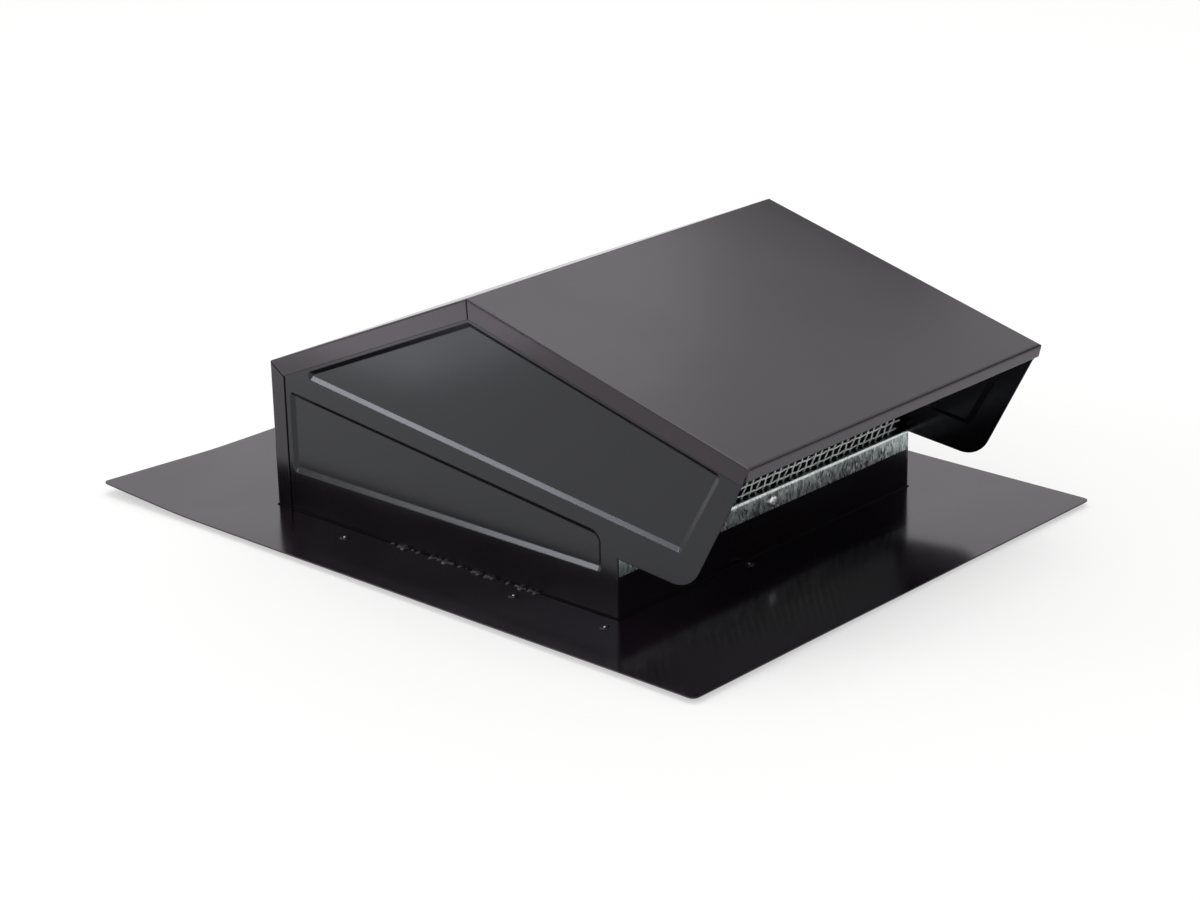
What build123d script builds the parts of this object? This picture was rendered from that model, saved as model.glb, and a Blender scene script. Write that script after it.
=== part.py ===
from build123d import *

import os
from math import atan2, cos, degrees, radians, tan

# Roof vent cap: a low hood of folded black sheet on a flat flashing plate, in millimetres.
# The origin is the middle of the flashing plate on the roof surface, +Z is up and the mouth of the hood
# faces -Y, which is downhill on a roof.

os.makedirs("parts", exist_ok=True)

# Stock
sheet = 0.7  # painted steel sheet
zinc_sheet = 0.6  # galvanised steel sheet
bend = 2.0  # outer radius of the folds of the hood
seam_bend = 1.2  # outer radius of the folds along its sides
foot_bend = 1.0  # radius of the fold above a foot flange
seat_gap = 0.2  # room left between pieces that are pushed together

# Flashing plate
flashing_width = 368.3
flashing_length = 482.6
flashing_front = 98.5  # plate ahead of the throat
flashing_corner = 2.0

# Hood seen from the side, heights above the top of the flashing
hood_width = 267.0
throat_length = 278.0
back_height = 92.5
ridge_setback = 109.0  # ridge behind the front wall
ridge_height = 164.0
eave_reach = 94.0  # eave ahead of the front wall
eave_height = 110.5
lip_height = 8.0
cheek_reach = 52.5  # lower corner of the overhanging cheek
cheek_height = 31.0
cheek_radius = 20.0
notch_gap = 0.4  # cheek above the strip where it meets the front wall
foot_width = 20.0  # flange turned out under the flashing
foot_lead = 8.0  # side flange past the front wall
seam_flange = 11.5  # side flange of the cover, over the panels
mitre_gap = 0.8

# Stiffening fields pushed into the side panels, set from the corners of the hood
field_depth = 1.8
field_slope = 58.0  # slope of the edge of a field, from straight in
field_corner = 3.0
upper_back_run = 24.5
upper_back_drop = 4.0
upper_ridge_drop = 14.0
upper_eave_run = 19.0
upper_eave_drop = 8.0
upper_cheek_run = 7.0
upper_cheek_rise = 20.0
lower_back_run = 15.5
lower_back_drop = 16.0
lower_front_run = 12.0
lower_front_height = 48.5
lower_foot = 25.0
lower_round = 8.0

# Front wall
wall_return = 8.0  # flange of the front wall behind each side panel

# Damper frame and its strip on the front wall
strip_top = 35.8
strip_height = 10.6
strip_bend = 3.0  # outer radius of the fold at the top of the strip
frame_rim = 8.0  # upturned side edge of the frame
rear_rim = 12.0
rim_setback = 24.0  # frame without a side edge at its front and back
front_sill = 30.0  # frame ahead of its opening
rear_sill = 44.0  # frame behind its opening, up to the back wall
side_sill = 21.9  # frame beside its opening

# Damper flap and its hinge
rod_radius = 1.6
running_gap = 0.05
hinge_setback = 18.0  # rod behind the opening of the frame
ear_margin = 3.5  # metal round the rod in an ear
ear_gap = 2.0  # between the flap and an ear
flap_lap = 8.0  # flap past the front of the opening
flap_side_lap = 7.0
flap_rim = 6.0
flap_seat_gap = 0.1
knuckle_width = 24.0
knuckle_spacing = 176.0
knuckle_count = 2
knuckle_neck = 1.0  # flap edge ahead of the knuckles
gasket_height = 2.0
gasket_width = 6.0
rod_overhang = 4.0
retainer_radius = 4.0
retainer_thickness = 1.0

# Bird screen and the angle above it
screen_setback = 5.0  # foot of the screen behind the face of the front wall
screen_lean = 20.0
screen_wire = 1.0
screen_side_gap = 3.0
screen_columns = 13
screen_rows = 5
angle_leg = 10.0
angle_top = 15.0

# Fasteners and sealant
screw_radius = 1.9
screw_length = 8.0
screw_head_radius = 3.3
screw_head_height = 2.2
screw_head_slope = 30.0
rivet_radius = 1.6
rivet_head_radius = 3.0
rivet_crown_radius = 1.8
rivet_head_height = 1.2
rivet_inset = 13.0  # rivet line outside the side panels
rivet_lead = 1.6  # first rivet ahead of the front wall
rivet_pitch = 69.2  # spacing along the rivet line
rivet_places = 4  # places on the line, of which each side uses two
bead = 1.2  # leg of the sealant fillet
bead_slope = 45.0

# Places that follow from the sizes
deck = 2 * sheet  # top of the flashing, which lies on the foot flanges
half_width = hood_width / 2
panel_out = half_width - sheet  # outer face of a side panel
panel_in = panel_out - sheet
field_in = panel_in - field_depth  # inner face of a pushed-in field
frame_half = field_in - seat_gap
front_y = -flashing_length / 2 + flashing_front
rear_y = front_y + throat_length
throat_y = (front_y + rear_y) / 2
sill_z = deck + strip_top
opening_front = front_y + front_sill
opening_rear = rear_y - rear_sill
opening_length = opening_rear - opening_front
opening_width = 2 * (frame_half - side_sill)
flap_width = opening_width + 2 * flap_side_lap
flap_z = sill_z + gasket_height + flap_seat_gap
knuckle_radius = rod_radius + running_gap + zinc_sheet
hinge_y = opening_rear + hinge_setback
hinge_z = flap_z + knuckle_radius
ear_x = flap_width / 2 + ear_gap
screw_z = sill_z - strip_height / 2
rear_screw_z = sill_z + rear_rim / 2
screen_half = frame_half - screen_side_gap
lean = radians(screen_lean)

eave = Vector(front_y - eave_reach, deck + eave_height)
ridge = Vector(front_y + ridge_setback, deck + ridge_height)
back_top = Vector(rear_y, deck + back_height)
back_foot = Vector(rear_y, sheet)
notch = Vector(front_y, sill_z + notch_gap)
cheek = Vector(front_y - cheek_reach, deck + cheek_height)
roof_run = (ridge - eave).normalized()
lip_run = Vector(roof_run.Y, -roof_run.X)

rivet_x = panel_out + rivet_inset
rivet_line = [front_y - rivet_lead + place * rivet_pitch for place in range(rivet_places)]
left_rivets = [(-rivet_x, y) for y in (rivet_line[0], rivet_line[-1])]
right_rivets = [(rivet_x, y) for y in (rivet_line[1], rivet_line[-1])]
rivet_spots = left_rivets + right_rivets
rivet_hole = rivet_radius + running_gap
screw_hole = screw_radius + running_gap


def folded_sheet(points, thickness, radii):
    """Section of a folded sheet: its outer line, thickened on the right-hand side."""
    with BuildSketch() as section:
        with BuildLine():
            FilletPolyline(*points, radius=radii)
            offset(amount=thickness, side=Side.RIGHT)
        make_face()
    return section.sketch


def field_outline(corners, radii):
    """Outline of a pushed-in field with rounded corners."""
    with BuildSketch() as outline:
        with BuildLine():
            FilletPolyline(*corners, radius=radii, close=True)
        make_face()
    return outline.sketch


def roof_underside(y):
    """Height of the underside of the front slope at a place along Y."""
    return eave.Y + (y - eave.X) * roof_run.Y / roof_run.X - sheet / roof_run.X


def screen_top(foot):
    """Where a line that leans as the screen does, from its foot on the sill, comes up under the roof."""
    rise = (roof_underside(foot) - seat_gap - sill_z) / (1 + tan(lean) * roof_run.Y / roof_run.X)
    return Vector(foot - rise * tan(lean), sill_z + rise)


# Side view of the hood, from which the cover and the panels are cut
with BuildSketch() as hood_side:
    with BuildLine():
        FilletPolyline(
            (front_y, 0), notch, cheek, eave, ridge, back_top, (rear_y, 0),
            radius=[0, 0, cheek_radius, 0, bend, bend, 0],
            close=True,
        )
    make_face()

lip_foot = eave + lip_run * lip_height
cover_line = [lip_foot, eave, ridge, back_top, back_foot, back_foot + Vector(foot_width, 0)]
cover_section = folded_sheet(cover_line, sheet, [bend, bend, bend, foot_bend])

# Side flange of the cover, cut open at its two mitres
mitre_cut = 4 * seam_flange
with BuildSketch() as seam_band:
    with BuildLine():
        Polyline(eave, ridge, back_top, (rear_y, deck))
        offset(amount=seam_flange, side=Side.RIGHT, kind=Kind.INTERSECTION)
    make_face()
    add(hood_side.sketch, mode=Mode.INTERSECT)
    for before, corner, after in ((eave, ridge, back_top), (ridge, back_top, back_foot)):
        inward = (before - corner).normalized() + (after - corner).normalized()
        with Locations(corner):
            Rectangle(
                mitre_cut,
                mitre_gap,
                rotation=degrees(atan2(inward.Y, inward.X)),
                mode=Mode.SUBTRACT,
            )

# Runs of the fold between the cover and its side flanges
seam_runs = [
    (eave - roof_run * bend, ridge),
    (ridge, back_top),
    (back_top, Vector(rear_y, deck)),
]


def seam_fold(start, end, side):
    """Plane across a fold of the cover's side, at its start, with the run of the fold as normal."""
    run = end - start
    return Plane(origin=(side * half_width, start.X, start.Y), x_dir=(-side, 0, 0), z_dir=(0, run.X, run.Y))


# Hood cover: one sheet folded at the lip, eave, ridge, back and foot, with a doubled edge on the lip
hem_top = eave + lip_run * (bend + sheet)
hem_depth = roof_run * (2 * sheet)
with BuildPart() as hood_cover:
    with BuildSketch(Plane.YZ):
        add(cover_section)
    extrude(amount=half_width, both=True)
    with BuildSketch(Plane.YZ):
        with BuildLine():
            Polyline(hem_top, lip_foot, lip_foot + hem_depth, hem_top + hem_depth, close=True)
        make_face()
    extrude(amount=panel_in, both=True)
    with BuildSketch(Plane.YZ.offset(-half_width)):
        add(seam_band.sketch)
    extrude(amount=sheet)
    with BuildSketch(Plane.YZ.offset(half_width)):
        add(seam_band.sketch)
    extrude(amount=-sheet)
    for start, end in seam_runs:
        for side in (-1, 1):
            with BuildSketch(seam_fold(start, end, side)):
                Rectangle(2 * seam_bend, 2 * seam_bend)
                with Locations((seam_bend, -side * seam_bend)):
                    Circle(seam_bend, mode=Mode.SUBTRACT)
            extrude(amount=(end - start).length, mode=Mode.SUBTRACT)
    with BuildSketch(Plane.XZ.offset(-rear_y)):
        with Locations((0, rear_screw_z)):
            Circle(screw_hole)
    extrude(amount=bend, both=True, mode=Mode.SUBTRACT)
hood_cover.part.label = "hood_cover"
export_step(hood_cover.part, "parts/hood_cover.step")

# Side panels: the overhanging cheek in front, two pushed-in fields and a foot flange
upper_field = [
    back_top - Vector(upper_back_run, upper_back_drop),
    ridge - Vector(0, upper_ridge_drop),
    eave + Vector(upper_eave_run, -upper_eave_drop),
    cheek + Vector(upper_cheek_run, upper_cheek_rise),
]
lower_field = [
    back_top - Vector(lower_back_run, lower_back_drop),
    (front_y + lower_front_run, deck + lower_front_height),
    (front_y + lower_front_run, deck + lower_foot),
    (rear_y - lower_back_run, deck + lower_foot),
]
fields = (
    (upper_field, [field_corner] * 4),
    (lower_field, [field_corner, lower_round, field_corner, field_corner]),
)
wall_growth = sheet / cos(radians(field_slope))
with BuildSketch() as panel_outline:
    add(hood_side.sketch)
    add(cover_section, mode=Mode.SUBTRACT)

with BuildPart() as panel_blank:
    with BuildSketch(Plane.YZ.offset(-panel_out)):
        add(panel_outline.faces().sort_by(SortBy.AREA)[-1])
    extrude(amount=sheet)
    for corners, radii in fields:
        with BuildSketch(Plane.YZ.offset(-panel_out)):
            add(field_outline(corners, radii))
            offset(amount=wall_growth)
        extrude(amount=field_depth + sheet, taper=field_slope)
        with BuildSketch(Plane.YZ.offset(-panel_out)):
            add(field_outline(corners, radii))
        extrude(amount=field_depth, taper=field_slope, mode=Mode.SUBTRACT)
    with BuildSketch(Plane.XY):
        with Locations((-panel_in, front_y - foot_lead)):
            Rectangle(
                foot_width, foot_lead + throat_length - sheet - seat_gap, align=(Align.MAX, Align.MIN)
            )
    extrude(amount=sheet)

with BuildPart() as side_panel_left:
    add(panel_blank.part)
    with Locations(*[(x, y, deck) for x, y in left_rivets]):
        Hole(rivet_hole)
side_panel_left.part.label = "side_panel_left"
export_step(side_panel_left.part, "parts/side_panel_left.step")

with BuildPart() as side_panel_right:
    add(mirror(panel_blank.part, about=Plane.YZ, mode=Mode.PRIVATE))
    with Locations(*[(x, y, deck) for x, y in right_rivets]):
        Hole(rivet_hole)
side_panel_right.part.label = "side_panel_right"
export_step(side_panel_right.part, "parts/side_panel_right.step")

# Front wall of the throat, with a foot flange and a return behind each side panel
wall_top = sill_z - strip_bend
wall_half = panel_in - seat_gap
with BuildPart() as front_wall:
    with BuildSketch(Plane.YZ):
        add(folded_sheet(
            [(front_y - foot_width, sheet), (front_y, sheet), (front_y, wall_top)], sheet, [foot_bend]
        ))
    extrude(amount=wall_half, both=True)
    with BuildSketch(Plane.XY.offset(deck)):
        for side in (-1, 1):
            with Locations((side * (wall_half - sheet / 2), front_y)):
                Rectangle(sheet, wall_return, align=(Align.CENTER, Align.MIN))
    extrude(amount=wall_top - deck)
    with BuildSketch(Plane.XZ.offset(-front_y)):
        with Locations((0, screw_z)):
            Circle(screw_hole)
    extrude(amount=bend, both=True, mode=Mode.SUBTRACT)
front_wall.part.label = "front_wall"
export_step(front_wall.part, "parts/front_wall.step")

# Flashing plate with the opening that the walls stand in
with BuildPart() as flashing_plate:
    with BuildSketch(Plane.XY.offset(sheet)) as plate:
        Rectangle(flashing_width, flashing_length)
        fillet(plate.vertices(), flashing_corner)
        with Locations((0, throat_y)):
            Rectangle(
                2 * (half_width + foot_bend), throat_length + 2 * foot_bend, mode=Mode.SUBTRACT
            )
        with Locations(*rivet_spots):
            Circle(rivet_hole, mode=Mode.SUBTRACT)
    extrude(amount=sheet)
flashing_plate.part.label = "flashing_plate"
export_step(flashing_plate.part, "parts/flashing_plate.step")

# Sealant fillet between the walls and the flashing
with BuildPart() as base_sealant:
    with BuildSketch(Plane.XY.offset(deck)):
        with Locations((0, throat_y)):
            Rectangle(2 * (half_width + bead), throat_length + 2 * bead)
    extrude(amount=bead, taper=bead_slope)
    with BuildSketch(Plane.XY.offset(deck)):
        with Locations((0, throat_y)):
            Rectangle(2 * panel_out, throat_length)
    extrude(amount=bead, mode=Mode.SUBTRACT)
    add(hood_cover.part, mode=Mode.SUBTRACT)
    add(front_wall.part, mode=Mode.SUBTRACT)
base_sealant.part.label = "base_sealant"
export_step(base_sealant.part, "parts/base_sealant.step")

# Damper frame: a galvanised tray with a hook over the front wall, upturned edges and two hinge ears
frame_rear = rear_y - sheet - seat_gap
strip_y = front_y - zinc_sheet
with BuildPart() as damper_frame:
    with BuildSketch(Plane.YZ):
        add(folded_sheet(
            [(strip_y, sill_z - strip_height), (strip_y, sill_z), (front_y + wall_return, sill_z)],
            zinc_sheet,
            [strip_bend],
        ))
    extrude(amount=wall_half, both=True)
    with BuildSketch(Plane.XY.offset(sill_z)):
        with Locations((0, front_y + strip_bend)):
            Rectangle(2 * frame_half, frame_rear - front_y - strip_bend, align=(Align.CENTER, Align.MIN))
        with Locations((0, opening_front)):
            Rectangle(
                opening_width, opening_length, align=(Align.CENTER, Align.MIN), mode=Mode.SUBTRACT
            )
    extrude(amount=-zinc_sheet)
    with BuildSketch(Plane.XZ.offset(-front_y)):
        with Locations((0, screw_z)):
            Circle(screw_hole)
    extrude(amount=bend, both=True, mode=Mode.SUBTRACT)
    with BuildSketch(Plane.XY.offset(sill_z)):
        for side in (-1, 1):
            with Locations((side * (frame_half - zinc_sheet / 2), throat_y)):
                Rectangle(zinc_sheet, throat_length - 2 * rim_setback)
    extrude(amount=frame_rim)
    with BuildSketch(Plane.XZ.offset(-frame_rear)):
        with Locations((0, sill_z)):
            Rectangle(2 * frame_half - 2 * rim_setback, rear_rim, align=(Align.CENTER, Align.MIN))
        with Locations((0, rear_screw_z)):
            Circle(screw_hole, mode=Mode.SUBTRACT)
    extrude(amount=zinc_sheet)
    for side in (-1, 1):
        with BuildSketch(Plane.YZ.offset(side * ear_x)):
            with Locations((hinge_y, sill_z)):
                Rectangle(
                    2 * (rod_radius + ear_margin), hinge_z - sill_z, align=(Align.CENTER, Align.MIN)
                )
            with Locations((hinge_y, hinge_z)):
                Circle(rod_radius + ear_margin)
                Circle(rod_radius + running_gap, mode=Mode.SUBTRACT)
        extrude(amount=side * zinc_sheet)
damper_frame.part.label = "damper_frame"
export_step(damper_frame.part, "parts/damper_frame.step")

# Foam strips round the opening, on which the flap closes
with BuildPart() as flap_gasket:
    with BuildSketch(Plane.XY.offset(sill_z)):
        with Locations((0, opening_front)):
            Rectangle(opening_width + 2 * gasket_width, gasket_width, align=(Align.CENTER, Align.MAX))
        for side in (-1, 1):
            with Locations((side * (opening_width + gasket_width) / 2, opening_front + seat_gap)):
                Rectangle(gasket_width, opening_length - seat_gap, align=(Align.CENTER, Align.MIN))
    extrude(amount=gasket_height)
flap_gasket.part.label = "flap_gasket"
export_step(flap_gasket.part, "parts/flap_gasket.step")

# Damper flap: a galvanised plate with upturned sides and knuckles rolled round the rod
flap_front = opening_front - flap_lap
flap_rear = hinge_y - knuckle_radius - knuckle_neck
with BuildPart() as damper_flap:
    with BuildSketch(Plane.XY.offset(flap_z)):
        with Locations((0, flap_front)):
            Rectangle(flap_width, flap_rear - flap_front, align=(Align.CENTER, Align.MIN))
    extrude(amount=zinc_sheet)
    with BuildSketch(Plane.XY.offset(flap_z)):
        for side in (-1, 1):
            with Locations((side * (flap_width - zinc_sheet) / 2, flap_front)):
                Rectangle(zinc_sheet, flap_rear - flap_front, align=(Align.CENTER, Align.MIN))
    extrude(amount=flap_rim)
    for i in range(knuckle_count):
        knuckle_x = (i - (knuckle_count - 1) / 2) * knuckle_spacing
        with BuildSketch(Plane.YZ.offset(knuckle_x)):
            with Locations((hinge_y, flap_z)):
                Rectangle(
                    2 * (knuckle_radius + knuckle_neck), zinc_sheet, align=(Align.MAX, Align.MIN)
                )
            with Locations((hinge_y, hinge_z)):
                Circle(knuckle_radius)
                Circle(rod_radius + running_gap, mode=Mode.SUBTRACT)
        extrude(amount=knuckle_width / 2, both=True)
damper_flap.part.label = "damper_flap"
export_step(damper_flap.part, "parts/damper_flap.step")

# Hinge rod and the push-on rings at its ends
rod_half = ear_x + zinc_sheet + rod_overhang
with BuildPart() as hinge_rod:
    with BuildSketch(Plane.YZ.offset(-rod_half)):
        with Locations((hinge_y, hinge_z)):
            Circle(rod_radius)
    extrude(amount=2 * rod_half)
hinge_rod.part.label = "hinge_rod"
export_step(hinge_rod.part, "parts/hinge_rod.step")

with BuildPart() as rod_retainers:
    for side in (-1, 1):
        with BuildSketch(Plane.YZ.offset(side * (ear_x + zinc_sheet + seat_gap))):
            with Locations((hinge_y, hinge_z)):
                Circle(retainer_radius)
                Circle(rod_radius + running_gap, mode=Mode.SUBTRACT)
        extrude(amount=side * retainer_thickness)
rod_retainers.part.label = "rod_retainers"
export_step(rod_retainers.part, "parts/rod_retainers.step")

# Bird screen, leaning out from the front wall up to the roof
screen_foot = front_y + screen_setback
screen_back = screen_foot + screen_wire / cos(lean)
front_foot = Vector(screen_foot, sill_z)
front_head = screen_top(screen_foot)
screen_plane = Plane(
    origin=(0, (front_foot.X + front_head.X) / 2, (front_foot.Y + front_head.Y) / 2),
    x_dir=(1, 0, 0),
    z_dir=(0, front_foot.Y - front_head.Y, front_head.X - front_foot.X),
)
screen_cut = 2 * screen_wire
column_pitch = (2 * screen_half - screen_wire) / screen_columns
row_pitch = ((front_head - front_foot).length - 2 * screen_wire) / screen_rows
with BuildPart() as bird_screen:
    with BuildSketch(Plane.YZ):
        with BuildLine():
            Polyline(front_foot, (screen_back, sill_z), screen_top(screen_back), front_head, close=True)
        make_face()
    extrude(amount=screen_half, both=True)
    with BuildSketch(screen_plane):
        with GridLocations(column_pitch, row_pitch, screen_columns, screen_rows):
            Rectangle(column_pitch - screen_wire, row_pitch - screen_wire)
    extrude(amount=screen_cut, both=True, mode=Mode.SUBTRACT)
bird_screen.part.label = "bird_screen"
export_step(bird_screen.part, "parts/bird_screen.step")

# Angle under the roof that holds the head of the screen
angle_corner = screen_top(screen_back + seat_gap)
angle_foot = angle_corner + (front_foot - front_head).normalized() * angle_leg
with BuildPart() as screen_angle:
    with BuildSketch(Plane.YZ):
        add(folded_sheet(
            [angle_foot, angle_corner, angle_corner + roof_run * angle_top], zinc_sheet, [foot_bend]
        ))
    extrude(amount=screen_half, both=True)
screen_angle.part.label = "screen_angle"
export_step(screen_angle.part, "parts/screen_angle.step")

# Screws that hold the frame: one in the strip, one through the back wall
screw_seats = [
    (Plane.XZ.offset(zinc_sheet - front_y), screw_z, 1),
    (Plane.XZ.offset(-rear_y), rear_screw_z, -1),
]
with BuildPart() as frame_screws:
    for seat, height, outward in screw_seats:
        with BuildSketch(seat):
            with Locations((0, height)):
                Circle(screw_radius)
        extrude(amount=-outward * screw_length)
        with BuildSketch(seat):
            with Locations((0, height)):
                Circle(screw_head_radius)
        extrude(amount=outward * screw_head_height, taper=screw_head_slope)
frame_screws.part.label = "frame_screws"
export_step(frame_screws.part, "parts/frame_screws.step")

# Rivets through the flashing and the side flanges
with BuildPart() as foot_rivets:
    with Locations(*rivet_spots):
        Cylinder(rivet_radius, deck, align=(Align.CENTER, Align.CENTER, Align.MIN))
    with Locations(*[(x, y, deck) for x, y in rivet_spots]):
        Cone(
            rivet_head_radius,
            rivet_crown_radius,
            rivet_head_height,
            align=(Align.CENTER, Align.CENTER, Align.MIN),
        )
foot_rivets.part.label = "foot_rivets"
export_step(foot_rivets.part, "parts/foot_rivets.step")
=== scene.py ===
# %% [markdown]
# # A roof vent cap in black enamel
#
# The cap is a low hood of folded sheet on a flat flashing plate. Its CAD solids arrive as a fixed frame. This
# lesson gives every solid a finish and adds what is too fine or too soft for a solid: the sprung corner of the
# flashing, the uneven bead of sealant, the rivets and screws, the hem on the zinc strip and the quarter-inch
# wire cloth. A camera, a white room and the light come last.

# %% Load the frame
import bpy
import numpy as np
from mathutils import Matrix, Vector


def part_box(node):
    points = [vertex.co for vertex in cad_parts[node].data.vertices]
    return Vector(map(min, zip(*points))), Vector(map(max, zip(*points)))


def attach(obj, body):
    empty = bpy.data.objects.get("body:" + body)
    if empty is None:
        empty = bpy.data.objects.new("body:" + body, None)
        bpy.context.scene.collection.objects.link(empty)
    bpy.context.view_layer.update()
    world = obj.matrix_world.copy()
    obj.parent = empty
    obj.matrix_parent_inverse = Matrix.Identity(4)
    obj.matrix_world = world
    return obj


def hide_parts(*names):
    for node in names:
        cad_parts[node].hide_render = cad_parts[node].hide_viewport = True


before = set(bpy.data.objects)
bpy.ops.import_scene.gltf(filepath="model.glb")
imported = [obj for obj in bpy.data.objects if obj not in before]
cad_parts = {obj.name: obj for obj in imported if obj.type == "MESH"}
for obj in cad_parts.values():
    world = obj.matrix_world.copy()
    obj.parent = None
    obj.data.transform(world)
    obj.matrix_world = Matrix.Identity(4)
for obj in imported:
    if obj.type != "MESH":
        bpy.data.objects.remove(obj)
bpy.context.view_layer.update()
print("solids:", ", ".join(sorted(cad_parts)))

# %% [markdown]
# ## Places taken from the frame
#
# Everything that is added has to sit on what carries it, so its place is read from the boxes of the solids
# and not typed in again. Only sizes that no solid shows, such as a wire's thickness, are written here.

# %% Read places from the solids
MM = 0.001
FOOT_WIDTH = 20 * MM
plate_low, plate_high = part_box("flashing_plate")
hood_low, hood_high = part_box("hood_cover")
wall_low, wall_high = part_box("front_wall")
strip_low, strip_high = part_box("damper_frame")
screen_low, screen_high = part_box("bird_screen")
screw_low, screw_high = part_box("frame_screws")
rivet_low, rivet_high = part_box("foot_rivets")
sheet = plate_high.z - plate_low.z
deck = plate_high.z
half_hood = hood_high.x
half_wall = half_hood - sheet
front_y = wall_low.y + FOOT_WIDTH
rear_y = hood_high.y - FOOT_WIDTH
print(f"deck {deck / MM:.1f} mm, throat from y {front_y / MM:.1f} to {rear_y / MM:.1f} mm")

# %% [markdown]
# ## Shapes as arrays
#
# A surface is a grid of points: one index runs along it and the other round it. Modelling by hand or with
# operators would do too, but then every change means doing it again. Numpy works out all the points at once, and
# one helper turns any grid into a mesh. Grids that come back to their start are joined there, so that no seam
# stays open, and the volume's sign tells whether the faces point outwards.


# %% Number the faces of a grid
def grid_faces(rows, columns, wrap_rows, wrap_columns):
    """Corner numbers of the quads between neighbouring points of a grid, joined to the start where it wraps."""
    i = np.arange(rows if wrap_rows else rows - 1)[:, None]
    j = np.arange(columns if wrap_columns else columns - 1)[None, :]
    below = (i + 1) % rows
    beside = (j + 1) % columns
    corners = [i * columns + j, i * columns + beside, below * columns + beside, below * columns + j]
    return np.stack(np.broadcast_arrays(*corners), -1).reshape(-1, 4)


def tube_faces(count, rows, columns):
    """Quads and end caps of a number of equal tubes, each a grid that wraps round its columns."""
    first = np.arange(count)[:, None, None] * rows * columns
    ends = np.stack([np.arange(columns)[::-1], np.arange(columns) + (rows - 1) * columns])
    return (grid_faces(rows, columns, False, True) + first).reshape(-1, 4), (ends + first).reshape(-1, columns)


print("a tube of 2 rings of 8 points has", len(tube_faces(1, 2, 8)[0]), "quads and 2 caps")


# %% Make closed pieces
SHARP = np.radians(40)


def signed_volume(points, quads):
    """Sum of the pyramids from the origin to each quad: positive when the faces point outwards."""
    a, b, c, d = (points[quads[:, k]] for k in range(4))
    return float(np.sum(np.cross(b - a, c - a) * a) + np.sum(np.cross(c - a, d - a) * a)) / 6


def solid(name, points, quads, caps=(), slot=None, replaces=()):
    """Makes a closed mesh piece from points, quads and end caps and hangs it on the cap's body."""
    points = np.asarray(points, float).reshape(-1, 3)
    turn = 1 if signed_volume(points - points.mean(0), quads) >= 0 else -1
    mesh = bpy.data.meshes.new(name)
    mesh.from_pydata(points.tolist(), [], quads[:, ::turn].tolist() + [cap[::turn].tolist() for cap in caps])
    mesh.shade_smooth()
    mesh.set_sharp_from_angle(angle=SHARP)
    piece = bpy.data.objects.new(name, mesh)
    bpy.context.scene.collection.objects.link(piece)
    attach(piece, "cap")
    if replaces:
        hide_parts(*replaces)
    print(f"{name}: {len(points)} points, {len(mesh.polygons)} faces")
    return piece


# %% [markdown]
# ## The flashing sheet
#
# The plate is thin enough to spring: its rear left corner stands a few millimetres off the floor, folded up
# along a slanting line. A plane with a Solidify modifier could be bent that way. Here the sheet is a ring of
# points instead, which gives both sides and the closed edges in one grid: a rectangle just inside the faces of
# the walls, carried out to the plate's edge, top side out and underside back.


# %% Walk round a rectangle
def smooth_step(low, high, value):
    """Goes from 0 at low to 1 at high along an S-shaped cubic; low may be the larger of the two."""
    t = np.clip((value - low) / (high - low), 0, 1)
    return t * t * (3 - 2 * t)


def rectangle_walk(low, high, count, corner=0.0):
    """Points once round a rectangle, count to a side and closer near its corners, which may be rounded.

    A point farther than the corner radius from the rectangle shrunk by that radius is drawn back to it."""
    share = 0.5 - 0.5 * np.cos(np.pi * np.arange(count) / count)
    (x0, y0), (x1, y1) = low, high
    across, along, still = x0 + (x1 - x0) * share, y0 + (y1 - y0) * share, np.ones(count)
    sides = [(across, y0 * still), (x1 * still, along),
             (x0 + x1 - across, y1 * still), (x0 * still, y0 + y1 - along)]
    walk = np.concatenate([np.stack(side, -1) for side in sides])
    core = np.clip(walk, np.array(low) + corner, np.array(high) - corner)
    apart = np.linalg.norm(walk - core, axis=-1, keepdims=True)
    return core + (walk - core) * np.minimum(1, corner / np.maximum(apart, 1e-9)) if corner else walk


print("a walk with 4 points to a side has", len(rectangle_walk((0, 0), (1, 1), 4)), "points")

# %% Spring the corner of the sheet
CURL = 4.2 * MM
CURL_ACROSS, CURL_ALONG = 90 * MM, 75 * MM
FOLD_ROUND = 0.02
WAVE = 0.12 * MM


def plate_rise(x, y):
    """Height of the sheet above its flat place: a folded-up rear left corner and a faint wave near the edges.

    The fold is 1 at the corner and 0 on a slanting line; a square root rounds the bend along that line."""
    fold = 1 - (x - plate_low.x) / CURL_ACROSS - (plate_high.y - y) / CURL_ALONG
    outside = np.maximum(np.abs(x) - half_hood, np.maximum(front_y - y, y - rear_y))
    wave = np.sin(31 * x + 23 * y) * np.cos(17 * y - 9 * x) + 1
    lift = CURL / 2 * (fold + np.sqrt(fold ** 2 + FOLD_ROUND))
    return lift + WAVE * smooth_step(12 * MM, 50 * MM, outside) * wave


print(f"the corner stands {plate_rise(plate_low.x, plate_high.y) / MM:.1f} mm up")

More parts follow.
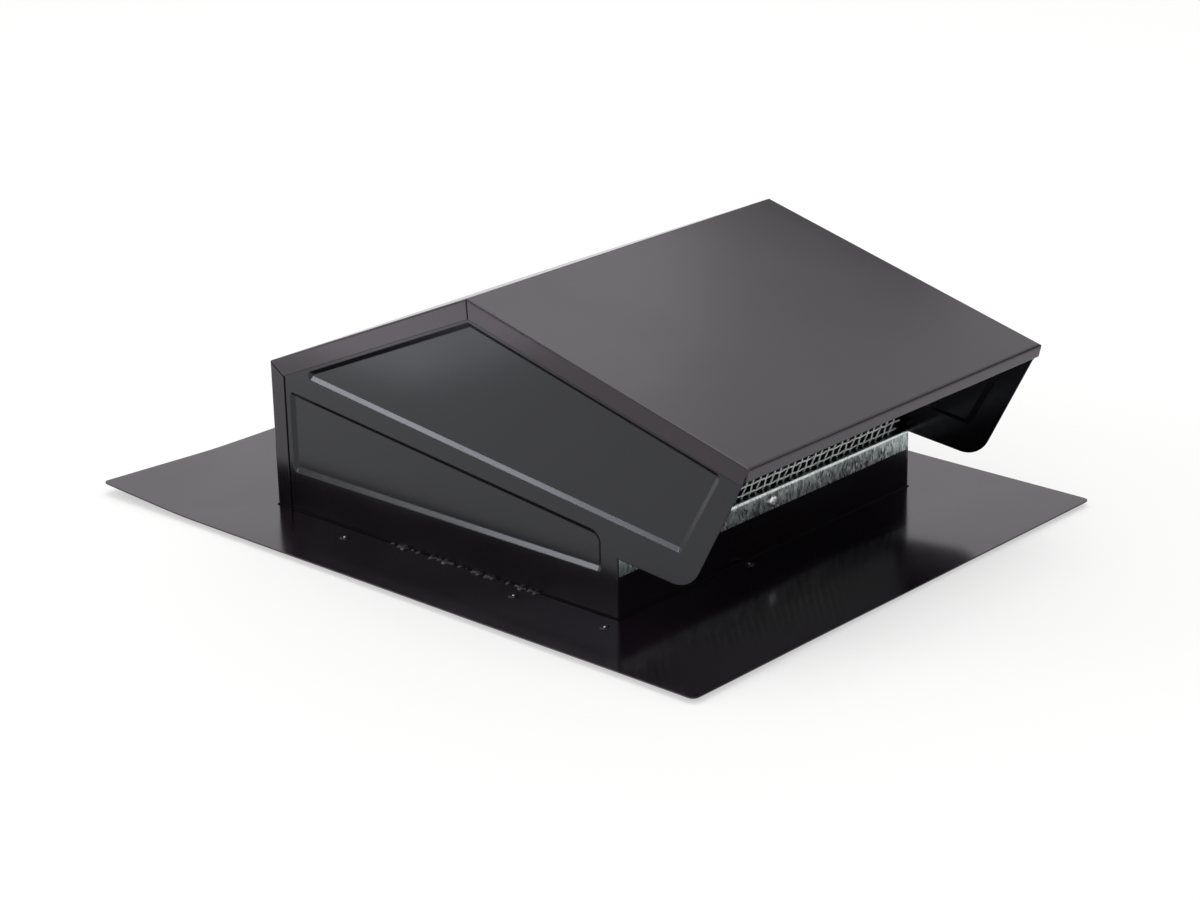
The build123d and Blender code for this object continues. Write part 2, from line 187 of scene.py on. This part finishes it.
# %% Carry the throat's outline out to the plate's edge
TUCK = 0.3 * MM
PLATE_CORNER = 4 * MM
PER_SIDE, STEPS_OUT = 64, 21
inner = rectangle_walk((TUCK - half_wall, front_y + TUCK), (half_wall - TUCK, rear_y - TUCK), PER_SIDE)
outer = rectangle_walk(plate_low[:2], plate_high[:2], PER_SIDE, corner=PLATE_CORNER)
spread = np.linspace(0, 1, STEPS_OUT)[None, :, None]
flat = inner[:, None] * (1 - spread) + outer[:, None] * spread
rise = plate_rise(flat[..., 0], flat[..., 1])
top_side = np.concatenate([flat, (deck + rise)[..., None]], -1)
under_side = np.concatenate([flat, (deck - sheet + rise)[..., None]], -1)
ring = np.concatenate([top_side, under_side[:, ::-1]], 1)
flashing_sheet = solid("flashing_sheet", ring, grid_faces(*ring.shape[:2], True, True),
                       slot="flashing_paint", replaces=["flashing_plate"])

# %% [markdown]
# ## The bead of sealant
#
# Sealant is pressed into the joint by hand. A thin dull bead goes all round the foot of the walls, and on the
# left wall more of it has run out in glossy lumps. Sculpting would give such lumps, but not the same ones again.
# So both are half-round tubes, squashed under the deck: each ring has its own reach along the deck and its own
# height up the wall.


# %% Press the bead into the joint
BEAD, BEAD_WAVER = 0.85 * MM, 0.1 * MM
UNDER_DECK = 0.5 * MM


def half_round(foot_line, outward, reach, height):
    """Rings along a foot line: out by the reach times a cosine, and up by the height times a sine."""
    turn = np.arange(12) * 2 * np.pi / 12
    out = foot_line[:, None] + outward[:, None] * (reach[:, None] * np.cos(turn))[..., None]
    rise = deck + np.where(np.sin(turn) > 0, height[:, None], UNDER_DECK) * np.sin(turn)
    return np.concatenate([out, rise[..., None]], -1)


bead_line = rectangle_walk((-half_wall, front_y), (half_wall, rear_y), 120)
line_low, line_high = bead_line.min(0), bead_line.max(0)
bead_outward = np.isclose(bead_line, line_high).astype(float) - np.isclose(bead_line, line_low)
bead_size = BEAD + BEAD_WAVER * np.sin(210 * bead_line.sum(1))
bead = half_round(bead_line, bead_outward, bead_size, bead_size)
sealant_bead = solid("sealant_bead", bead, grid_faces(*bead.shape[:2], True, True),
                     slot="sealant", replaces=["base_sealant"])

# %% Let the lumps run out on the left
LUMPS_REAR, LUMPS_FRONT = 42 * MM, -98 * MM
LUMP_THIN, LUMP_REACH, LUMP_HEIGHT = 0.3 * MM, 4 * MM, 1.3 * MM


def lump_share(y):
    """0 to 1 where three waves of unlike length rise together, faded out at both ends of the run."""
    waves = np.sin(190 * y + 3) + np.sin(530 * y + 1) + np.sin(1130 * y)
    fades = smooth_step(LUMPS_FRONT, LUMPS_FRONT + 18 * MM, y) * smooth_step(LUMPS_REAR, LUMPS_REAR - 16 * MM, y)
    return fades * np.clip(0.3 + 0.4 * waves, 0, 1)


lump_y = np.linspace(LUMPS_REAR, LUMPS_FRONT, 320)
lumps = lump_share(lump_y)
lump_line = np.stack([np.full(len(lump_y), -half_wall), lump_y], -1)
lump_outward = np.tile((-1.0, 0.0), (len(lump_y), 1))
run_out = half_round(lump_line, lump_outward, LUMP_THIN + LUMP_REACH * lumps, LUMP_THIN + LUMP_HEIGHT * lumps)
sealant_lumps = solid("sealant_lumps", run_out, *tube_faces(1, *run_out.shape[:2]), slot="sealant")

# %% [markdown]
# ## Rivets and screws
#
# Both are turned pieces: a radius and a height for every row and angle. Spinning a profile gives plain turned
# pieces only; a height that may change with the angle as well also gives the cross recess and the thread. A blind
# rivet is a low dome with the stub of its broken-off pin in a hollow. Rivets stand on a line of four even places
# beside each wall: three of them on the left, two on the right, and one more in front of the mouth.


# %% Turn pieces and set out copies of them
def turned(radius, height):
    """Points of a turned piece: a circle of each radius at each height, one column to each angle."""
    angle = np.arange(radius.shape[1]) * 2 * np.pi / radius.shape[1]
    return np.stack([radius * np.cos(angle), radius * np.sin(angle), height], -1)


def set_out(name, points, spots, axes, **how):
    """Copies of a turned piece, one at each spot with its own three axes."""
    laid = np.einsum("rck,nkd->nrcd", points, axes) + np.asarray(spots)[:, None, None]
    return solid(name, laid, *tube_faces(len(spots), *points.shape[:2]), **how)


RIVET_RADIUS = 3.0 * MM
RIVET_PLACES = 4
LEFT_PLACES, RIGHT_PLACES = [0, 1, 3], [1, 3]
rivet_x = rivet_high.x - RIVET_RADIUS
row_y = np.linspace(rivet_low.y + RIVET_RADIUS, rivet_high.y - RIVET_RADIUS, RIVET_PLACES)
left_row = [(-rivet_x, y, deck) for y in row_y[LEFT_PLACES]]
right_row = [(rivet_x, y, deck) for y in row_y[RIGHT_PLACES]]
front_one = [(-26 * MM, front_y - 5 * MM, deck)]
rivet_spots = np.array(left_row + right_row + front_one)
print("rivet line:", np.round(row_y / MM, 1))

# %% Press the rivets
DOME, HOLLOW = 1.15 * MM, 0.7 * MM
PIN_RADIUS, PIN_HEIGHT = 0.8 * MM, 1.1 * MM
upright = np.broadcast_to(np.eye(3), (len(rivet_spots), 3, 3))
share = np.concatenate([np.linspace(0.03, 1, 18), [1]])[:, None] * np.ones((1, 28))
dome = DOME * np.sqrt(1 - (0.93 * share) ** 2) - HOLLOW * smooth_step(0.46, 0.33, share)
dome[-1] = -0.3 * MM
blind_rivets = set_out("blind_rivets", turned(RIVET_RADIUS * share, dome), rivet_spots, upright,
                       slot="flashing_paint", replaces=["foot_rivets"])
stub = PIN_HEIGHT - HOLLOW * share ** 2
stub[-1] = 0.3 * MM
rivet_pins = set_out("rivet_pins", turned(PIN_RADIUS * share, stub), rivet_spots, upright, slot="zinc_screw")

# %% Cut the screws
HEAD_HEIGHT, HEAD_DROP, RECESS = 2.2 * MM, 0.8 * MM, 1.1 * MM
STEM, THREAD, THREAD_PITCH = 1.45 * MM, 0.4 * MM, 1.4 * MM
TIP, TAPER = -8 * MM, -6.4 * MM


def screw_grid(head, columns=48):
    """Radius and height of a pan-head screw by row and angle: head top with its cross, rim, thread and tip.

    The cross is two crossed bars with soft sides; the thread's ridge follows height minus angle, a pitch a turn."""
    angle = np.arange(columns)[None] * 2 * np.pi / columns
    even = np.ones((1, columns))
    top_radius = head * np.linspace(0.03, 1, 22)[:, None] * even
    u, v = np.abs(top_radius * np.cos(angle)), np.abs(top_radius * np.sin(angle))
    bars = [smooth_step(0.62 * MM, 0.34 * MM, a) * smooth_step(1.9 * MM, 1.5 * MM, b)
            for a, b in ((u, v), (v, u))]
    top_height = HEAD_HEIGHT - HEAD_DROP * (top_radius / head) ** 2.6 - RECESS * np.maximum(*bars)
    rim_radius = np.array([1.0, 0.97, 0.55])[:, None] * head * even
    rim_height = np.array([0.25, 0.0, 0.0])[:, None] * MM * even
    stem_height = np.linspace(-0.1 * MM, TIP, 70)[:, None] * even
    ridge = np.maximum(0, 1 - 3 * np.abs((stem_height / THREAD_PITCH - angle / (2 * np.pi)) % 1 - 0.5))
    stem_radius = (STEM + THREAD * ridge) * (0.12 + 0.88 * smooth_step(TIP, TAPER, stem_height))
    return (np.concatenate([top_radius, rim_radius, stem_radius]),
            np.concatenate([top_height, rim_height, stem_height]))


head_radius = screw_high.x
screw_spots = [(0, screw_low.y + HEAD_HEIGHT, screw_low.z + head_radius),
               (0, screw_high.y - HEAD_HEIGHT, screw_high.z - head_radius)]
screw_axes = np.array([[(1, 0, 0), (0, 0, 1), (0, -1, 0)], [(-1, 0, 0), (0, 0, 1), (0, 1, 0)]], float)
cross_screws = set_out("cross_screws", turned(*screw_grid(head_radius)), screw_spots, screw_axes,
                       slot="zinc_screw", replaces=["frame_screws"])

# %% [markdown]
# ## The hem on the strip
#
# The zinc strip on the front wall ends upwards in a narrow standing hem, behind which the foot of the screen is
# held. The solid has a plain bend there. A bevelled edge would round it, but not raise it. So the hem is one
# profile drawn across the strip: its upper edge leans back a little, which is what shows as the bright line, and
# its top is round.

# %% Draw the hem across the strip
HEM_RISE = 1.5 * MM
HEM_ROUND = 0.5 * MM
HEM_LEAN = 0.25 * MM
SKIN = 0.35 * MM
sill = screen_low.z
face = strip_low.y - 0.15 * MM
arch = np.linspace(np.pi, 0, 13)
arch_y = face + HEM_LEAN + HEM_ROUND * (1 + np.cos(arch))
arch_z = sill + HEM_RISE + HEM_ROUND * (np.sin(arch) - 1)
rest_y = [arch_y[-1], face + SKIN, face + SKIN, face, face, face + 0.02 * MM]
rest_z = [sill - 0.5 * MM, sill - 3 * MM, strip_low.z, strip_low.z, sill - 0.7 * MM, sill - 0.5 * MM]
profile = np.stack([np.append(arch_y, rest_y), np.append(arch_z, rest_z)], -1)
hem = np.stack([np.insert(profile, 0, end, 1) for end in (strip_low.x, strip_high.x)])
strip_hem = solid("strip_hem", hem, *tube_faces(1, *hem.shape[:2]), slot="galvanised")

# %% [markdown]
# ## The wire cloth
#
# Bird screens are cut from quarter-inch hardware cloth. A Wireframe modifier on a plane would give bars that
# melt into each other, but in the cloth each wire passes over one crossing wire and under the next. So each wire
# is a thin tube of its own. The solid screen gives the leaning plane, and the wires are worked out as one array:
# wire by wire, point by point along it, and round its section.

# %% Lay out the plane of the screen
PITCH = 6.35 * MM
WIRE = 0.52 * MM
WEAVE = 0.5 * WIRE
ROUND = 8
PER_GAP = 4
FIRST_ROW = 0.4
foot = np.array([0, screen_high.y, screen_low.z])
head = np.array([0, screen_low.y, screen_high.z])
lean_length = np.linalg.norm(head - foot) - 2 * MM
along = (head - foot) / np.linalg.norm(head - foot)
across = np.array([1.0, 0, 0])
normal = np.cross(across, along)
columns = np.arange(-19, 20)
rows = np.arange(int(lean_length / PITCH))
print(f"{len(columns)} upright and {len(rows)} level wires, {lean_length / MM:.1f} mm from foot to head")


# %% Weave the wires
def wires(places, lift, place_axis, run, run_axis):
    """Tubes: one per place along one axis, run along the other, lifted out of the plane by the weave."""
    paths = (foot + places[:, None, None] * place_axis + run[None, :, None] * run_axis
             + WEAVE * lift[..., None] * normal)
    turn = np.arange(ROUND)[:, None] * 2 * np.pi / ROUND
    section = WIRE * (np.cos(turn) * place_axis + np.sin(turn) * normal)
    return (paths[:, :, None] + section).reshape(-1, 3), *tube_faces(len(places), len(run), ROUND)


upright_run = np.linspace(0, lean_length, PER_GAP * len(rows) + 1)
level_run = np.linspace(-screen_high.x, screen_high.x, PER_GAP * (len(columns) + 1) + 1)
over = np.cos(np.pi * (upright_run[None] / PITCH - FIRST_ROW + columns[:, None]))
under = -np.cos(np.pi * (level_run[None] / PITCH + rows[:, None]))
upright_points, upright_quads, upright_caps = wires(columns * PITCH, over, across, upright_run, along)
level_points, level_quads, level_caps = wires((rows + FIRST_ROW) * PITCH, under, along, level_run, across)
wire_cloth = solid("wire_cloth", np.concatenate([upright_points, level_points]),
                   np.concatenate([upright_quads, level_quads + len(upright_points)]),
                   np.concatenate([upright_caps, level_caps + len(upright_points)]),
                   slot="galvanised", replaces=["bird_screen"])

# %% [markdown]
# ## Camera
#
# The photograph was taken with a long lens from the front left, a little above the roof line. A camera could be
# aimed with a Track To constraint, but that gives no roll. Its place, turn and focal length were fitted to the
# hood's corners instead, and the camera's three axes are set as a matrix.

# %% Stand the camera where the photograph was taken
AZIMUTH, ELEVATION, ROLL = np.radians(-47.38), np.radians(20.17), -0.0215
TARGET = np.array([-50.76, -56.32, 57.52]) * MM
DISTANCE = 1698.1 * MM
SENSOR, FOCAL_LENGTH = 36, 87.53
back = np.array([np.sin(AZIMUTH) * np.cos(ELEVATION), -np.cos(AZIMUTH) * np.cos(ELEVATION), np.sin(ELEVATION)])
level_right = np.array([np.cos(AZIMUTH), np.sin(AZIMUTH), 0])
level_up = np.cross(back, level_right)
right = np.cos(ROLL) * level_right + np.sin(ROLL) * level_up
up = np.cross(back, right)
lens = bpy.data.cameras.new("camera")
lens.sensor_width = SENSOR
lens.lens = FOCAL_LENGTH
camera = bpy.data.objects.new("camera", lens)
bpy.context.scene.collection.objects.link(camera)
turned_axes = Matrix(np.stack([right, up, back], 1).tolist()).to_4x4()
camera.matrix_world = Matrix.Translation(Vector(TARGET + DISTANCE * back)) @ turned_axes
bpy.context.scene.camera = camera
print("camera at", [round(c, 3) for c in camera.location])

# %% [markdown]
# ## Shader sums as Python
#
# Finishes can be wired by hand in the node editor. Written down, each wire becomes a line, and soon nobody can
# read them. A wrapped socket lets a finish be written as a formula: `a * 0.5 + b` adds the Math nodes by itself.
# Any other node comes from one method, which first makes its settings and then fills or links its sockets.


# %% Wrap a shader socket
class Shade:
    """One output of a material's nodes. Sums and products of these add Math nodes."""

    def __init__(self, tree, socket=None):
        self.tree = tree
        self.socket = socket

    def node(self, kind, settings, sockets, output=0):
        """Adds a node of any kind: its settings, then values or links for its sockets."""
        made = self.tree.nodes.new(kind)
        for name, value in settings.items():
            setattr(made, name, value)
        for name, value in sockets.items():
            if isinstance(value, Shade):
                self.tree.links.new(value.socket, made.inputs[name])
            else:
                made.inputs[name].default_value = value
        return Shade(self.tree, made.outputs[output])

    def math(self, operation, first, second):
        return self.node("ShaderNodeMath", {"operation": operation}, {0: first, 1: second})

    def vector(self, operation, second):
        return self.node("ShaderNodeVectorMath", {"operation": operation}, {0: self, 1: second})

    def __add__(self, other):
        return self.math("ADD", self, other)

    def __sub__(self, other):
        return self.math("SUBTRACT", self, other)

    def __rsub__(self, other):
        return self.math("SUBTRACT", other, self)

    def __mul__(self, other):
        return self.math("MULTIPLY", self, other)

    __radd__ = __add__
    __rmul__ = __mul__

    def larger(self, other):
        return self.math("MAXIMUM", self, other)

    def between(self, low, high):
        """0 below low, 1 above high, and an S-curve between them."""
        settings = {"interpolation_type": "SMOOTHSTEP"}
        return self.node("ShaderNodeMapRange", settings, {"Value": self, "From Min": low, "From Max": high})

    def noise(self, scale, detail=2.0, roughness=0.5):
        sockets = {"Vector": self, "Scale": scale, "Detail": detail, "Roughness": roughness}
        return self.node("ShaderNodeTexNoise", {}, sockets)

    def stretched(self, scale):
        return self.node("ShaderNodeMapping", {}, {"Vector": self, "Scale": scale})

    def tint(self, dark, light):
        """Colour from dark at 0 to light at 1; either may be a colour or a socket."""
        ends = {6: dark, 7: light}
        colours = {place: end if isinstance(end, Shade) else (*end, 1) for place, end in ends.items()}
        return self.node("ShaderNodeMix", {"data_type": "RGBA"}, {0: self, **colours}, 2)

    def bump(self, distance, **more):
        return self.node("ShaderNodeBump", {}, {"Height": self, "Distance": distance, **more})


# %% Start a finish and put it on pieces
def new_finish(name, constants):
    """A material with one Principled shader, its constant sockets set, and its Object coordinates."""
    material = bpy.data.materials.new(name)
    material.use_nodes = True
    tree = material.node_tree
    shader = tree.nodes["Principled BSDF"]
    for socket, value in constants.items():
        shader.inputs[socket].default_value = value
    place = Shade(tree).node("ShaderNodeTexCoord", {}, {}, "Object")

    def feed(socket, value):
        tree.links.new(value.socket, shader.inputs[socket])

    return material, place, feed


def dress(material, *pieces):
    """Gives pieces, or CAD nodes by name, one material."""
    for piece in pieces:
        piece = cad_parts[piece] if isinstance(piece, str) else piece
        piece.data.materials.clear()
        piece.data.materials.append(material)
    print(material.name, "on", ", ".join(p if isinstance(p, str) else p.name for p in pieces))


# %% [markdown]
# ## Black enamel
#
# Baked enamel is nearly black in itself: what the eye sees is the room in its gloss. A plain dark grey would look
# right from one side only. So the base colour stays very dark and the work is in the gloss: a fine orange peel, a
# slow change of roughness where the coat is thicker or dusty, and a few hair scratches.


# %% Enamel for the cover, the panels and the flashing
PAINT_ROUND = 0.8 * MM


def enamel(name, colour, dust, gloss, peel, wave, tint, index):
    """Black baked enamel: gloss is its lowest roughness, peel and wave the depths of its bump in metres.

    The Bevel node turns the normals near an edge, as paint rounds a fold."""
    # The Specular Tint is painted reflection colour: it tints whatever the enamel mirrors.
    material, place, feed = new_finish(name, {"IOR": index, "Specular Tint": (*tint, 1)})
    cloud = place.noise(9, 3).between(0.35, 0.7)
    grain = place.noise(420, 2)
    scratch = place.stretched((900, 60, 900)).noise(1, 2).between(0.72, 0.78)
    feed("Base Color", (cloud * 0.6 + grain * 0.4).tint(colour, dust))
    feed("Roughness", gloss + cloud * 0.04 + grain * 0.02 + scratch * 0.05)
    slow = place.noise(14, 1)
    rounded = place.node("ShaderNodeBevel", {"samples": 6}, {"Radius": PAINT_ROUND})
    feed("Normal", (place.noise(260, 1) * peel + slow * wave).bump(1.0, Normal=rounded))
    return material


HOOD_BLACK, HOOD_DUST = (0.0018, 0.0006, 0.0014), (0.003, 0.0018, 0.003)
PLATE_BLACK, PLATE_DUST = (0.003, 0.0008, 0.0028), (0.0045, 0.0016, 0.0044)
# Cover and panels are the same enamel in two copies. The cover's purple tint and higher index and the panels' blue
# tint are painted reflection, and so is the flashing's purple tint.
cover_enamel = enamel("cover_enamel", HOOD_BLACK, HOOD_DUST, gloss=0.16,
                      peel=0.004 * MM, wave=0.1 * MM, tint=(0.97, 0.86, 1.0), index=1.56)
panel_enamel = enamel("panel_enamel", HOOD_BLACK, HOOD_DUST, gloss=0.16,
                      peel=0.004 * MM, wave=0.1 * MM, tint=(0.86, 0.9, 1.0), index=1.5)
flashing_enamel = enamel("flashing_enamel", PLATE_BLACK, PLATE_DUST, gloss=0.13,
                         peel=0.003 * MM, wave=0.2 * MM, tint=(1.0, 0.86, 1.0), index=1.53)
dress(cover_enamel, "hood_cover")
dress(panel_enamel, "side_panel_left", "side_panel_right", "front_wall")
dress(flashing_enamel, flashing_sheet, blind_rivets)

# %% [markdown]
# ## Galvanised steel
#
# Hot-dipped zinc freezes in flat crystals, the spangle. Each crystal has its own tone and roughness and leans
# its own way, which is what makes the zinc glitter. Noise would give soft clouds without edges. So cells of a
# Voronoi texture, drawn out upwards, stand for the crystals, and the cell's random colour both tones it and leans
# its normal. Along the top of the hem the zinc is painted lighter: a painted highlight on the fold.


# %% Zinc with spangle
# Colour of the painted highlight on the hem's top, and the height over which it fades in.
HEM_HIGHLIGHT = (0.74, 0.79, 0.78)
HEM_HIGHLIGHT_FADE = 0.5 * MM


def galvanised(name, cell, dark, light, lean, gloss, metal, highlight_above=None):
    """Zinc in crystals of a given size in metres; lean is how far a crystal's normal may turn.

    Above a given height the zinc may be painted lighter: a painted highlight along the top of a fold."""
    material, place, feed = new_finish(name, {"Metallic": metal})
    cells = place.stretched(tuple(1 / c for c in cell))
    crystal = cells.node("ShaderNodeTexVoronoi", {}, {"Vector": cells, "Scale": 1.0}, "Color")
    tone = crystal.node("ShaderNodeSeparateColor", {}, {"Color": crystal})
    bloom = place.noise(40, 3)
    colour = (tone * 0.75 + bloom * 0.25).tint(dark, light)
    # Painted highlight: above the given height the colour is blended to a lighter zinc tone.
    if highlight_above:
        height = place.node("ShaderNodeSeparateXYZ", {}, {0: place}, "Z")
        colour = height.between(highlight_above, highlight_above + HEM_HIGHLIGHT_FADE).tint(colour, HEM_HIGHLIGHT)
    feed("Base Color", colour)
    feed("Roughness", gloss + tone * 0.12 + bloom * 0.08)
    straight = place.node("ShaderNodeNewGeometry", {}, {}, "Normal")
    leaned = crystal.vector("SUBTRACT", (0.5, 0.5, 0.5)).vector("MULTIPLY", (lean, lean, lean))
    facing = leaned.vector("ADD", straight).vector("NORMALIZE", (0, 0, 0))
    feed("Normal", (place.noise(300, 2) * (0.02 * MM)).bump(1.0, Normal=facing))
    return material


SPANGLE = {"cell": (1.2 * MM, 3 * MM, 2.6 * MM), "dark": (0.15, 0.18, 0.18), "light": (0.56, 0.61, 0.6),
           "lean": 0.1, "gloss": 0.2, "metal": 1.0}
spangled_zinc = galvanised("spangled_zinc", **SPANGLE)
# The hem's zinc carries a painted highlight along its top.
hem_zinc = galvanised("hem_zinc", **SPANGLE, highlight_above=sill - 0.4 * MM)
# The wires' near-white colour and low metalness are partly their zinc and partly painted light: they keep the wires
# in the overhang's shade as bright as front light would.
wire_zinc = galvanised("wire_zinc", cell=(1 * MM, 1 * MM, 1 * MM), dark=(0.78, 0.84, 0.82),
                       light=(0.92, 0.97, 0.95), lean=0.2, gloss=0.25, metal=0.15)
dress(spangled_zinc, "damper_frame", "damper_flap", "screen_angle")
dress(hem_zinc, strip_hem)
dress(wire_zinc, wire_cloth)

# %% [markdown]
# ## Small hardware, foam and sealant
#
# The pivot rod is plain drawn steel with marks along it, the screws and the rivets' pins are bright zinc plate,
# the strips under the flap are closed-cell foam, and the sealant is dull in the joint and glossy where it ran
# out. One plain colour each would do from afar. A grain of the right size keeps them apart in close views.


# %% Steel and zinc plate
def bare_metal(name, dark, light, gloss):
    """Metal with fine marks drawn along X, which change its tone, its roughness and its height."""
    material, place, feed = new_finish(name, {"Metallic": 1.0})
    drawn = place.stretched((60, 900, 900)).noise(1, 3)
    feed("Base Color", drawn.tint(dark, light))
    feed("Roughness", gloss + drawn * 0.15)
    feed("Normal", (drawn * (0.01 * MM)).bump(1.0))
    return material


drawn_steel = bare_metal("drawn_steel", (0.4, 0.4, 0.4), (0.6, 0.6, 0.6), 0.25)
zinc_plate = bare_metal("zinc_plate", (0.62, 0.63, 0.64), (0.8, 0.81, 0.82), 0.16)
dress(drawn_steel, "hinge_rod", "rod_retainers")
dress(zinc_plate, cross_screws, rivet_pins)


# %% Foam and sealant
def soft_black(name, colour, dust, gloss, shine, grain_scale, grain_depth):
    """A soft black stuff: shine is its specular level, and its grain has a scale and a depth in metres."""
    material, place, feed = new_finish(name, {"IOR": 1.45, "Specular IOR Level": shine})
    grain = place.noise(grain_scale, 3)
    feed("Base Color", grain.tint(colour, dust))
    feed("Roughness", gloss + grain * 0.2)
    feed("Normal", (grain * grain_depth).bump(1.0))
    return material


closed_foam = soft_black("closed_foam", (0.012, 0.012, 0.012), (0.05, 0.05, 0.05), gloss=0.7, shine=0.5,
                         grain_scale=900, grain_depth=0.2 * MM)
dull_sealant = soft_black("dull_sealant", (0.001, 0.001, 0.001), (0.003, 0.002, 0.003), gloss=0.6, shine=0.08,
                          grain_scale=300, grain_depth=0.2 * MM)
glossy_sealant = soft_black("glossy_sealant", (0.004, 0.004, 0.004), (0.012, 0.011, 0.012), gloss=0.1, shine=0.6,
                            grain_scale=160, grain_depth=0.3 * MM)
dress(closed_foam, "flap_gasket")
dress(dull_sealant, sealant_bead)
dress(glossy_sealant, sealant_lumps)

# %% [markdown]
# ## Floor and room
#
# Black enamel mirrors the room, so the room is plain white. More lamps would make it white as well, but would
# burn out the zinc. So the world is white to the camera and in reflections, and dimmer as a light, and colours
# render as written. The floor glows in the same way by one half, and its other half keeps the soft shadow.

# %% White floor
FLOOR_Z = -2.2 * MM
FLOOR_REACH = 6.0
SHADOW_SHARE = 0.5


def seen_or_mirrored(shade):
    """1 for rays from the camera and for rays in gloss or glass."""
    paths = shade.tree.nodes.new("ShaderNodeLightPath").outputs
    camera_ray, glossy_ray, clear_ray = (
        Shade(shade.tree, paths[name]) for name in ("Is Camera Ray", "Is Glossy Ray", "Is Transmission Ray"))
    return camera_ray.larger(glossy_ray).larger(clear_ray)


floor_paint = bpy.data.materials.new("floor_paint")
floor_paint.use_nodes = True
tree = floor_paint.node_tree
tree.nodes.clear()
start = Shade(tree)
matt = start.node("ShaderNodeBsdfDiffuse", {}, {"Color": (0.95, 0.95, 0.945, 1)})
glow = start.node("ShaderNodeEmission", {}, {"Color": (1, 1, 0.997, 1), "Strength": 1.0})
glow_share = seen_or_mirrored(start) * (1 - SHADOW_SHARE)
mixed = start.node("ShaderNodeMixShader", {}, {0: glow_share, 1: matt, 2: glow})
tree.links.new(mixed.socket, tree.nodes.new("ShaderNodeOutputMaterial").inputs["Surface"])


def stage_sheet(name, middle, side, rise, finish):
    """A rectangle that isn't part of the object: half of each of its two edge vectors either way of its middle."""
    corners = np.array(middle) + 0.5 * (np.outer((-1, 1, 1, -1), side) + np.outer((-1, -1, 1, 1), rise))
    mesh = bpy.data.meshes.new(name)
    mesh.from_pydata(corners.tolist(), [], [(0, 1, 2, 3)])
    mesh.materials.append(finish)
    piece = bpy.data.objects.new(name, mesh)
    bpy.context.scene.collection.objects.link(piece)
    print("stage:", name)
    return piece


floor = stage_sheet("floor", (0, 0, FLOOR_Z), (2 * FLOOR_REACH, 0, 0), (0, 2 * FLOOR_REACH, 0), floor_paint)

# %% White room
ROOM_LIGHT = 0.85
world = bpy.data.worlds.new("room")
bpy.context.scene.world = world
world.use_nodes = True
tree = world.node_tree
tree.nodes.clear()
start = Shade(tree)
room_light = start.node("ShaderNodeBackground", {}, {"Color": (1, 1, 1, 1), "Strength": ROOM_LIGHT})
room_white = start.node("ShaderNodeBackground", {}, {"Color": (1, 1, 1, 1), "Strength": 1.0})
mixed = start.node("ShaderNodeMixShader", {}, {0: seen_or_mirrored(start), 1: room_light, 2: room_white})
tree.links.new(mixed.socket, tree.nodes.new("ShaderNodeOutputWorld").inputs["Surface"])
print("room light", ROOM_LIGHT)

# %% [markdown]
# ## Lamps
#
# The room alone would leave the folds flat. A large soft lamp overhead gives the shadow under the plate. A weak
# one behind on the right brightens the left of the roof in its gloss, and a long low one behind on the left draws
# the light lines along the lower edges of the pushed-in fields.


# %% Three soft lamps
def soft_lamp(name, place, aim, width, height, power):
    """An oval area lamp at a place in metres, turned to its aim."""
    lamp = bpy.data.lights.new(name, "AREA")
    lamp.shape = "ELLIPSE"
    lamp.size, lamp.size_y = width, height
    lamp.energy = power
    lamp_object = bpy.data.objects.new(name, lamp)
    bpy.context.scene.collection.objects.link(lamp_object)
    way = (Vector(aim) - Vector(place)).to_track_quat("-Z", "Y")
    lamp_object.matrix_world = Matrix.Translation(Vector(place)) @ way.to_matrix().to_4x4()
    print("lamp", name, "of", power, "W")


soft_lamp("key", (0.3, 0.35, 2.3), (0, 0, 0.05), 1.6, 1.6, 13)
soft_lamp("roof", (1.31, 1.0, 1.52), (0, -0.1, 0.14), 0.8, 0.8, 0.7)
soft_lamp("edge", (-2.0, 1.9, 1.47), (-0.13, 0, 0.04), 1.8, 0.36, 12)

# %% [markdown]
# ## Cards to mirror
#
# Gloss needs something dark to mirror as well, or black looks grey. Studios stand black cards beside a glossy
# object for that. One behind on the left and one in front on the right are what the foot of the walls and the
# deck before them mirror, and one behind on the right darkens the far end of the roof. A white card on the floor
# lights the flange along the left side. Cards show only in gloss: they neither shade the floor nor stand in the
# picture.


# %% Stand and lay the cards
def card(name, middle, side, rise, finish):
    """A rectangle that only gloss shows."""
    piece = stage_sheet(name, middle, side, rise, finish)
    piece.visible_camera = piece.visible_diffuse = piece.visible_shadow = False


def upright_card(name, middle, width, height):
    """A black card that stands across the level line from the object to its middle."""
    x, y, _ = middle
    card(name, middle, width / np.hypot(x, y) * np.array([-y, x, 0]), (0, 0, height), card_black)


card_black, _, _ = new_finish("card_black", {"Base Color": (0.01, 0.01, 0.01, 1), "Roughness": 1.0})
card_white, _, _ = new_finish("card_white", {"Base Color": (0, 0, 0, 1), "Specular IOR Level": 0.0,
                                             "Emission Color": (1, 1, 1, 1), "Emission Strength": 2.2})
upright_card("card_left", (-1.224, 1.02, 0.561), 0.9, 0.4)
upright_card("card_front", (1.19, -1.054, 0.561), 0.9, 0.42)
upright_card("card_roof", (1.309, 0.816, 0.935), 0.85, 0.28)
card("card_side", (-0.47, 0.36, FLOOR_Z + 1 * MM), (0.24, 0, 0), (0, 0.24, 0), card_white)

# %% [markdown]
# ## Colour view
#
# Colours are shown with the Standard view transform.

# %% Finish
bpy.context.scene.view_settings.view_transform = "Standard"
